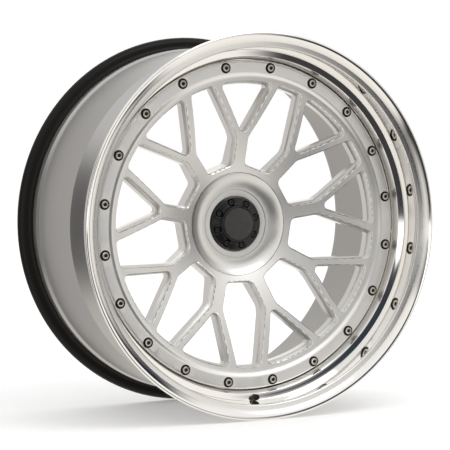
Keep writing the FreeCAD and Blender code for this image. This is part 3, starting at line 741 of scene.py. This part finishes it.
# ---------------------------------------------------------------- sub-assemblies
@dataclass
class Rim:
    """Lip, barrel and the bead of sealant between them.

    Attributes:
        flange_r: Outer radius of both tyre flanges.
        bead_r: Radius of the bead seats at the flanges.
        bead_low_r: Radius of the bead seats at their inner ends.
        bead_y: Distance of each bead face from the middle.
        face_y: Distance of each flange's outer face from the middle.
        seat_width: Width of each bead seat.
        hump_y: Distance of the humps behind the bead seats from the middle.
        hump_rise: How far the humps stand above the bead seats.
        bend: Radius of each flange's tyre-side bend.
        bead_round: Radius between a flange and its bead seat.
        well_r: Outer radius of the two bolting flanges.
        bore_r: Inner radius of the two bolting flanges.
        joint_y: Plane where lip and barrel meet.
        disc_seat_y: Front of the lip's bolting flange, where the disc sits.
        barrel_back_y: Back of the barrel's bolting flange.
        lip_inside: Street-side corners of the lip, from its crown to the disc's seat.
        barrel_inside: Vehicle-side corners of the barrel, from its crown to its bolting flange.
        lip_outside: Corners of the lip's tyre side above the joint.
        barrel_outside: Corners of the barrel's tyre side above the joint.
        valve_z: Height of the valve's axis.
        spot_face: Radius and two ends of the cut under the valve's nut, in metres.
        pocket: Radius and two ends of the cut round the valve's head, in metres.
        turns: Steps round the wheel.
    """

    flange_r: float = 273.9
    bead_r: float = 256.4
    bead_low_r: float = 254.69
    bead_y: float = 120.65
    face_y: float = 133.5
    seat_width: float = 19.6
    hump_y: float = 99.5
    hump_rise: float = 0.6
    bend: float = 9.4
    bead_round: float = 6.5
    well_r: float = 239.2
    bore_r: float = 213.5
    joint_y: float = -60.0
    disc_seat_y: float = -67.2
    barrel_back_y: float = -52.8
    lip_inside: tuple[Corner, ...] = (
        (268.5, -132.6, 3.0),
        (260.3, -127.4, 3.0),
        (252.3, -125.0, 3.0),
        (250.0, -91.5, 1.2),
        (240.8, -89.5, 0.8),
        (236.7, -75.0, 0.5),
    )
    barrel_inside: tuple[Corner, ...] = (
        (258.5, 127.5, 1.0),
        (247.5, 114.5, 8.0),
        (247.5, -22.0, 10.0),
        (235.0, -52.8, 1.0),
    )
    lip_outside: tuple[Corner, ...] = ((239.2, -65.0, 5.0), (255.0, -78.0, 5.0), (255.0, -96.5, 2.0))
    barrel_outside: tuple[Corner, ...] = ((239.2, -50.0, 3.0), (253.7, -24.4, 4.0), (253.7, 92.5, 3.0))
    valve_z: float = -0.2454
    spot_face: tuple[float, float, float] = (4.3 * MM, -0.0936, -0.0894)
    pocket: tuple[float, float, float] = (6.0 * MM, -0.0750, -0.0605)
    turns: int = 360

    def lip_profile(self) -> list[Corner]:
        """Outline of the stepped lip."""
        return [
            (self.flange_r, -self.bead_y, self.bend),
            (self.flange_r, -self.face_y, 2.5),
            *self.lip_inside,
            (self.lip_inside[-1][0], self.disc_seat_y, 0.0),
            (self.bore_r, self.disc_seat_y, 0.8),
            *self.joint_corners(),
            *self.lip_outside,
            *self.bead_corners(-1.0),
        ]

    def barrel_profile(self) -> list[Corner]:
        """Outline of the vehicle-side barrel."""
        return [
            (self.flange_r, self.bead_y, self.bend),
            (self.flange_r, self.face_y, 2.8),
            *self.barrel_inside,
            (self.bore_r, self.barrel_back_y, 0.8),
            *self.joint_corners(),
            *self.barrel_outside,
            *self.bead_corners(1.0),
        ]

    def joint_corners(self) -> list[Corner]:
        """Corners of the plane where lip and barrel meet."""
        return [(self.bore_r, self.joint_y, 0.0), (self.well_r, self.joint_y, 0.0)]

    def bead_corners(self, side: float) -> list[Corner]:
        """Hump and bead seat of one flange; side is -1 for the street and 1 for the vehicle."""
        return [
            (self.bead_r + self.hump_rise, side * self.hump_y, 1.5),
            (self.bead_low_r, side * (self.bead_y - self.seat_width), 2.0),
            (self.bead_r, side * self.bead_y, self.bead_round),
        ]

    def lip(self) -> bpy.types.Object:
        """Lip with the valve's hole, spot face and tyre-side pocket."""
        piece = revolve("lip_shell", spread(rounded(self.lip_profile()), 8 * MM), self.turns)
        cut_away(piece, self.spot_face, self.valve_z)
        cut_away(piece, self.pocket, self.valve_z)
        return piece

    def barrel(self) -> bpy.types.Object:
        """Barrel as one closed turned shell."""
        return revolve("barrel_shell", spread(rounded(self.barrel_profile()), 10 * MM), self.turns)

    def sealant(self) -> bpy.types.Object:
        """Hand-laid bead: a half-round section whose height and edges wander a little round the wheel.

        The section's height is a mean plus a slow sum of sines of the turn, and its middle moves
        along y by another such sum.
        """
        rows, columns, sunk, half_width, middle_y = 540, 9, 0.25, 4.1, self.joint_y + 1.5
        turn = np.linspace(0, math.tau, rows, endpoint=False)[:, None]
        across = np.linspace(0, math.pi, columns)[None, :]
        height = 1.3 + 0.16 * np.sin(23 * turn + 1.0) + 0.1 * np.sin(61 * turn)
        shift = 0.25 * np.sin(9 * turn) + 0.12 * np.sin(37 * turn + 2.0)
        radius = (self.well_r - sunk + (height + sunk) * np.sin(across)) * MM
        y = np.broadcast_to((middle_y + shift - half_width * np.cos(across)) * MM, radius.shape)
        points = np.stack([radius * np.sin(turn), y, radius * np.cos(turn)], 2)
        return mesh_object("sealant_bead", points.reshape(-1, 3), loop_faces(rows, columns), 50.0)

    def build(self) -> None:
        """Builds and dresses the rim."""
        dress(self.lip(), POLISH, Body.WHEEL, "outer_lip")
        dress(self.barrel(), BARREL, Body.WHEEL, "inner_barrel")
        dress(self.sealant(), SILICONE, Body.WHEEL, "joint_sealant")


@dataclass
class Centre:
    """Forged disc and the fasteners that hold the three rim pieces together.

    Attributes:
        face: Three (radius, y) points of the arc that turns the spokes' front face, in millimetres.
        spoke_r: Radii between which the spokes lie, in metres.
        near_deg: Faces that lean less than this from the arc's normal belong to the front or the ledges.
        wall_share: Faces whose normal leans less than this along the axle are milled walls.
    """

    face: tuple[tuple[float, float], ...] = ((74.8, -43.3), (133.6, -63.6), (205.0, -75.6))
    spoke_r: Span = (0.0755, 0.2051)
    near_deg: float = 14.0
    wall_share: float = 0.25

    def disc(self) -> bpy.types.Object:
        """Milled disc with exact normals on its front, its ledges and its windows' walls.

        The front is turned about the axle from an arc with centre c, so the normal at radius q is
        (q - c_q, y(q) - c_y) over the arc's radius. The ledges are the same arc moved along the axle
        and have the same normals. The walls stand parallel to the axle, so their normals lose their y.
        """
        piece = smoothed_node("centre_disc", 9.0)
        mesh = piece.data
        corner_count, face_count = len(mesh.loops), len(mesh.polygons)
        places, normals = np.empty(len(mesh.vertices) * 3), np.empty(corner_count * 3)
        flat, middles = np.empty(face_count * 3), np.empty(face_count * 3)
        vertex, sizes = np.empty(corner_count, int), np.empty(face_count, int)
        mesh.vertices.foreach_get("co", places)
        mesh.corner_normals.foreach_get("vector", normals)
        mesh.polygons.foreach_get("normal", flat)
        mesh.polygons.foreach_get("center", middles)
        mesh.loops.foreach_get("vertex_index", vertex)
        mesh.polygons.foreach_get("loop_total", sizes)
        flat, middles, normals = flat.reshape(-1, 3), middles.reshape(-1, 3), normals.reshape(-1, 3)
        radius = np.hypot(middles[:, 0], middles[:, 2])
        on_spokes = (radius > self.spoke_r[0]) & (radius < self.spoke_r[1])
        lean = np.sum(flat * self.front_normals(middles), 1)
        front = np.repeat(on_spokes & (lean > math.cos(math.radians(self.near_deg))), sizes)
        wall = np.repeat(on_spokes & (np.abs(flat[:, 1]) < self.wall_share), sizes)
        exact = self.front_normals(places.reshape(-1, 3)[vertex])
        upright = normals * np.array([1.0, 0.0, 1.0])
        upright /= np.maximum(np.linalg.norm(upright, axis=1, keepdims=True), TINY)
        normals = np.where(front[:, None], exact, np.where(wall[:, None], upright, normals))
        mesh.normals_split_custom_set(normals.tolist())
        return piece

    def front_normals(self, places: np.ndarray) -> np.ndarray:
        """Normals of the turned front face at the radii of some places."""
        centre, size = circle_through(*self.face)
        radius = np.hypot(places[:, 0], places[:, 2])
        out = np.clip((radius - centre[0] * MM) / (size * MM), -0.95, 0.95)
        along = np.sign(self.face[1][1] - centre[1]) * np.sqrt(1 - out**2)
        share = out / np.maximum(radius, TINY)
        exact = np.stack([places[:, 0] * share, along, places[:, 2] * share], 1)
        return exact * -np.sign(along)[:, None]

    def build(self) -> None:
        """Dresses the milled disc, bolts, washers and nuts."""
        dress(self.disc(), FORGING, Body.WHEEL, "centre_disc")
        dress_nodes(
            Body.WHEEL,
            ("assembly_bolts", BOLT_HEAD, "bolt_steel"),
            ("bolt_washers", BLACK_STEEL, "black_steel"),
            ("assembly_nuts", BOLT_STEEL, "bolt_steel"),
        )


@dataclass
class HubCover:
    """Turned cover with its plug, which pull off the wheel together.

    Attributes:
        rim_r: Outer radius of the cover.
        edge_y: Front of the cover's edge.
        plug_r: Radius of the plug.
        seat_y: Plane on which the plug sits.
        back_y: Back of the plug.
        badge_r: Radius of the badge face.
        hole_r: Radius of the cover's hole behind the plug.
    """

    rim_r: float = 74.4
    edge_y: float = -42.8
    plug_r: float = 39.6
    seat_y: float = -32.2
    back_y: float = -29.5
    badge_r: float = 23.2
    hole_r: float = 37.6

    def dish(self) -> np.ndarray:
        """Points of the dished front, an arc from the cover's edge to its groove."""
        a, b, c = (self.rim_r - 0.6, self.edge_y), (64.0, -37.0), (50.0, -34.4)
        centre, size = circle_through(a, b, c)
        start, end = (math.atan2(*(np.array(p) - centre)[::-1]) for p in (a, c))
        turns = np.linspace(start, end, 24)
        return (centre + size * np.stack([np.cos(turns), np.sin(turns)], 1)) * MM

    def cover(self) -> bpy.types.Object:
        """Cover with its groove line, plug recess and O-ring skirt."""
        rest = rounded(
            [
                (49.2, -34.3, 0.0),
                (49.0, -33.1, 0.0),
                (48.5, -33.1, 0.0),
                (48.3, -34.0, 0.2),
                (self.plug_r + 0.9, -33.7, 0.4),
                (self.plug_r + 0.25, self.seat_y, 0.0),
                (self.hole_r, self.seat_y, 0.0),
                (self.hole_r, self.back_y, 0.0),
                (50.0, self.back_y, 1.0),
                (62.0, -32.5, 1.0),
                (66.4, -33.6, 0.0),
                (66.4, -27.0, 0.3),
                (69.6, -27.0, 0.5),
                (69.6, -30.4, 0.0),
                (67.8, -30.4, 0.0),
                (67.8, -33.6, 0.0),
                (69.6, -33.6, 0.0),
                (69.6, -37.8, 0.0),
                (self.rim_r, -37.8, 0.2),
                (self.rim_r, self.edge_y + 0.6, 0.3),
                (self.rim_r - 0.6, self.edge_y, 0.0),
            ],
            closed=False,
        )
        return revolve("cover_shell", np.concatenate([self.dish(), rest[:-1]]), 288)

    def badge(self) -> bpy.types.Object:
        """Plain, slightly domed badge face with a soft edge, on its grooved stub."""
        seat = -44.4
        corners = [
            (0.0, -47.4, 0.0),
            (self.badge_r * 0.6, -47.25, 9.0),
            (self.badge_r, -46.9, 0.8),
            (self.badge_r, seat, 0.2),
            (9.0, seat, 0.0),
            (9.0, seat + 3.2, 0.0),
            (8.0, seat + 3.2, 0.0),
            (8.0, seat + 4.2, 0.0),
            (9.0, seat + 4.2, 0.0),
            (9.0, seat + 5.6, 0.4),
            (0.0, seat + 5.6, 0.0),
        ]
        return revolve("badge_face", rounded(corners), 144)

    def build(self) -> None:
        """Builds and dresses the cover group."""
        dress(self.cover(), COVER, Body.COVER, "hub_cover")
        dress(self.badge(), BADGE, Body.COVER, "badge_disc")
        dress(smoothed_node("centre_plug", 30.0), GLOSS_BLACK, Body.COVER, "centre_plug")
        dress_nodes(
            Body.COVER,
            ("plug_screws", SCREW_BLACK, "screw_steel"),
            ("plug_backing_ring", INSIDE_METAL, "satin_barrel"),
            ("cover_o_ring", RUBBER, "rubber"),
            ("badge_clip", BLACK_STEEL, "black_steel"),
        )


@dataclass
class Valve:
    """Tyre valve on the lip's step.

    Attributes:
        z: Height of the valve's axis.
        cap_r: Radius of the cap over its ribs.
        rib_count: Grip ribs round the cap.
        rib_depth: Depth of the grooves between them.
        cap_top_y: Closed end of the cap.
        cap_rim_y: Its open end.
        bore_r: Radius inside the cap.
        bore_y: Closed end of that bore.
    """

    z: float = -245.4
    cap_r: float = 4.2
    rib_count: int = 16
    rib_depth: float = 0.35
    cap_top_y: float = -100.5
    cap_rim_y: float = -92.0
    bore_r: float = 3.4
    bore_y: float = -99.0

    def cap(self) -> bpy.types.Object:
        """Dust cap: a turned shell whose grip has ribs.

        In the grip the radius is lowered by the grooves' depth times the sixth power of the cosine
        of half the rib angle, and the wave fades out over the cap's shoulder.
        """
        shell = rounded(
            [
                (0.0, self.cap_top_y, 0.0),
                (self.cap_r, self.cap_top_y, 1.0),
                (self.cap_r, self.cap_rim_y, 0.3),
                (self.bore_r, self.cap_rim_y, 0.1),
                (self.bore_r, self.bore_y, 0.2),
                (0.0, self.bore_y, 0.0),
            ]
        )
        shell = spread(shell, 0.6 * MM)
        turn = np.linspace(0, math.tau, self.rib_count * 12, endpoint=False)[:, None]
        radius, y = shell[None, :, 0], shell[None, :, 1]
        outer = np.clip((radius - 3.6 * MM) / (0.4 * MM), 0, 1)
        grip = outer * np.clip((y - (self.cap_top_y + 1.2) * MM) / (0.5 * MM), 0, 1)
        ribbed = radius - self.rib_depth * MM * grip * np.cos(turn * self.rib_count / 2) ** 6
        points = np.stack(
            [ribbed * np.sin(turn), np.broadcast_to(y, ribbed.shape), ribbed * np.cos(turn) + self.z * MM], 2
        )
        return mesh_object("cap_shell", points.reshape(-1, 3), loop_faces(len(turn), len(shell)), 40.0)

    def build(self) -> None:
        """Builds and dresses the valve."""
        dress(self.cap(), CAP_PLASTIC, Body.CAP, "valve_cap")
        dress_nodes(Body.CAP, ("valve_cap_seal", RUBBER, "rubber"))
        dress_nodes(
            Body.WHEEL,
            ("valve_stem", NICKEL, "valve_brass"),
            ("valve_nut", NICKEL, "valve_brass"),
            ("valve_core", NICKEL, "valve_brass"),
            ("valve_seal", RUBBER, "rubber"),
            ("valve_spring", BOLT_STEEL, "bolt_steel"),
        )
        dress_nodes(Body.PIN, ("valve_core_pin", NICKEL, "valve_brass"))


# ---------------------------------------------------------------- studio
@dataclass(frozen=True)
class Patch:
    """Stretch of the surroundings with soft edges.

    Attributes:
        turn: Degrees round the wheel at which it starts, is full, starts to fade and ends; 0 is left, 90
            is towards the street.
        rise: The same for degrees above the horizon.
        low: Colour well below the horizon.
        high: Colour well above it.
    """

    turn: tuple[float, float, float, float]
    rise: tuple[float, float, float, float]
    low: Colour
    high: Colour

    def share(self, turn: Wire, rise: Wire) -> Wire:
        """1 inside the patch and 0 outside it."""
        across = turn.ramp(*self.turn[:2]) * turn.ramp(*self.turn[:1:-1])
        return across * rise.ramp(*self.rise[:2]) * rise.ramp(*self.rise[:1:-1])


HALF_LIT = (0.66, 0.645, 0.63)
NIGHT_BLUE = (0.016, 0.02, 0.034)
DIM = (0.05, 0.05, 0.055)
LAMP_WHITE = (1.5, 1.5, 1.48)
REAR = Patch((-110.0, -90.0, -40.0, -30.0), (-45.0, -30.0, 30.0, 45.0), HALF_LIT, HALF_LIT)
AHEAD = Patch(
    (54.0, 66.0, 114.0, 122.0), (-38.0, -30.0, 13.0, 22.0), (0.05, 0.047, 0.05), (0.035, 0.043, 0.06)
)
RIGHT = Patch((146.0, 152.0, 168.0, 176.0), (-36.0, -26.0, 26.0, 36.0), NIGHT_BLUE, NIGHT_BLUE)
LEFT = Patch((-32.0, -24.0, 14.0, 22.0), (-34.0, -26.0, 26.0, 34.0), DIM, DIM)
STRIP = Patch((54.0, 66.0, 114.0, 122.0), (-3.6, -2.4, 1.6, 2.8), LAMP_WHITE, LAMP_WHITE)


@dataclass
class Studio:
    """Camera, white sweep and the surroundings that the polished metal mirrors.

    Attributes:
        azimuth: Camera's turn about the wheel in degrees; 0 looks along the axle.
        elevation: Camera's height in degrees.
        roll: Camera's roll in degrees.
        distance: From the camera to the middle of the bolt circle.
        lens: Focal length in millimetres on a 36 mm sensor.
        target: Middle of the bolt circle.
        shift_right: How far right of its target the camera aims.
        shift_up: How far above its target the camera aims.
        floor_z: Height of the floor, which the flanges touch.
        floor_half: Half the floor's width.
        floor_glow: Strength of the floor's own light.
        key_watts: Power of the soft lamp.
        key_place: Where the lamp stands.
        key_size: The lamp's two sides.
    """

    azimuth: float = -26.0
    elevation: float = 3.10
    roll: float = -0.47
    distance: float = 3.066
    lens: float = 171.65
    target: tuple[float, float, float] = (0.0, -0.080, 0.0)
    shift_right: float = -0.0349
    shift_up: float = 0.0004
    floor_z: float = -0.2739
    floor_half: float = 6.0
    floor_glow: float = 0.20
    key_watts: float = 14.0
    key_place: tuple[float, float, float] = (0.6, -1.3, 2.2)
    key_size: tuple[float, float] = (1.6, 1.2)

    def camera(self) -> None:
        """Places the camera."""
        turn, rise = math.radians(self.azimuth), math.radians(self.elevation)
        back = Vector((math.sin(turn) * math.cos(rise), -math.cos(turn) * math.cos(rise), math.sin(rise)))
        right = Vector((math.cos(turn), math.sin(turn), 0.0))
        aim = Vector(self.target) + right * self.shift_right + back.cross(right) * self.shift_up
        data = bpy.data.cameras.new("camera")
        data.lens = self.lens
        data.sensor_width = 36.0
        data.clip_end = 50.0
        camera = bpy.data.objects.new("camera", data)
        camera.location = aim + back * self.distance
        camera.rotation_euler = back.to_track_quat("Z", "Y").to_euler()
        camera.rotation_euler.rotate_axis("Z", math.radians(self.roll))
        bpy.context.scene.collection.objects.link(camera)
        bpy.context.scene.camera = camera

    def floor(self) -> None:
        """Pale floor under the wheel: white paint with a little light of its own, as on a lit sweep."""
        corners = np.array([[-1, -1], [1, -1], [1, 1], [-1, 1]]) * self.floor_half
        mesh = bpy.data.meshes.new("floor")
        points = np.column_stack([corners, np.full(4, self.floor_z)])
        mesh.from_pydata(points, [], [(0, 1, 2, 3)])
        floor = bpy.data.objects.new("floor", mesh)
        bpy.context.scene.collection.objects.link(floor)
        made = bpy.data.materials.new("floor_white")
        made.use_nodes = True
        made.node_tree.nodes.clear()
        bench = Bench(made.node_tree)
        place = bench.node("ShaderNodeTexCoord", {}, {}, "Object")
        tone = bench.mix(bench.noise(place, 3.0), (0.86, 0.86, 0.86), (0.89, 0.89, 0.89))
        values = {"Base Color": tone, "Roughness": 0.9, "Emission Color": (1, 1, 1, 1)}
        values["Emission Strength"] = self.floor_glow
        shader = bench.node("ShaderNodeBsdfPrincipled", {}, values)
        bench.node("ShaderNodeOutputMaterial", {"is_active_output": True}, {0: shader})
        mesh.materials.append(made)
        floor.visible_glossy = False

    def surroundings(self) -> None:
        """World: white to the camera and to matt surfaces, a cream room in reflections.

        A dark patch lies ahead of the wheel, with a thin bright strip across it at the horizon. Dark
        patches stand far right and far left, and the room behind the wheel is half lit.
        """
        world = bpy.data.worlds.new("studio")
        bpy.context.scene.world = world
        world.use_nodes = True
        world.node_tree.nodes.clear()
        bench = Bench(world.node_tree)
        ray = bench.node("ShaderNodeTexCoord", {}, {}, "Generated")
        x = bench.node("ShaderNodeSeparateXYZ", {}, {0: ray}, 0)
        y = bench.node("ShaderNodeSeparateXYZ", {}, {0: ray}, 1)
        z = bench.node("ShaderNodeSeparateXYZ", {}, {0: ray}, 2)
        rise = z.math("ARCSINE") * math.degrees(1.0)
        turn = (y * -1.0).math("ARCTAN2", x * -1.0) * math.degrees(1.0)
        seen = bench.mix(rise.ramp(20.0, 60.0), (1.0, 0.975, 0.93), (0.95, 0.97, 1.0))
        for patch in (REAR, AHEAD, RIGHT, LEFT, STRIP):
            shade = bench.mix(rise.ramp(-20.0, 20.0), patch.low, patch.high)
            seen = bench.mix(patch.share(turn, rise), seen, shade)
        camera_ray = bench.node("ShaderNodeLightPath", {}, {}, "Is Camera Ray")
        diffuse_ray = bench.node("ShaderNodeLightPath", {}, {}, "Is Diffuse Ray")
        colour = bench.mix(camera_ray.math("MAXIMUM", diffuse_ray), seen, (1.0, 1.0, 1.0))
        light = bench.node("ShaderNodeBackground", {}, {0: colour, 1: 1.0})
        bench.node("ShaderNodeOutputWorld", {"is_active_output": True}, {0: light})

    def key_light(self) -> None:
        """Large soft lamp above the front of the wheel."""
        data = bpy.data.lights.new("key", "AREA")
        data.shape = "RECTANGLE"
        data.size, data.size_y = self.key_size
        data.energy = self.key_watts
        lamp = bpy.data.objects.new("key", data)
        lamp.location = self.key_place
        lamp.rotation_euler = Vector(lamp.location).to_track_quat("Z", "Y").to_euler()
        bpy.context.scene.collection.objects.link(lamp)

    def build(self) -> None:
        """Sets the stage."""
        bpy.context.scene.view_settings.view_transform = "Standard"
        self.camera()
        self.floor()
        self.surroundings()
        self.key_light()


def main() -> None:
    """Builds the wheel and its studio."""
    logging.basicConfig(level=logging.INFO, format="%(name)s %(message)s")
    for assembly in (Studio(), Rim(), Centre(), HubCover(), Valve()):
        assembly.build()


if __name__ == "__main__":
    main()
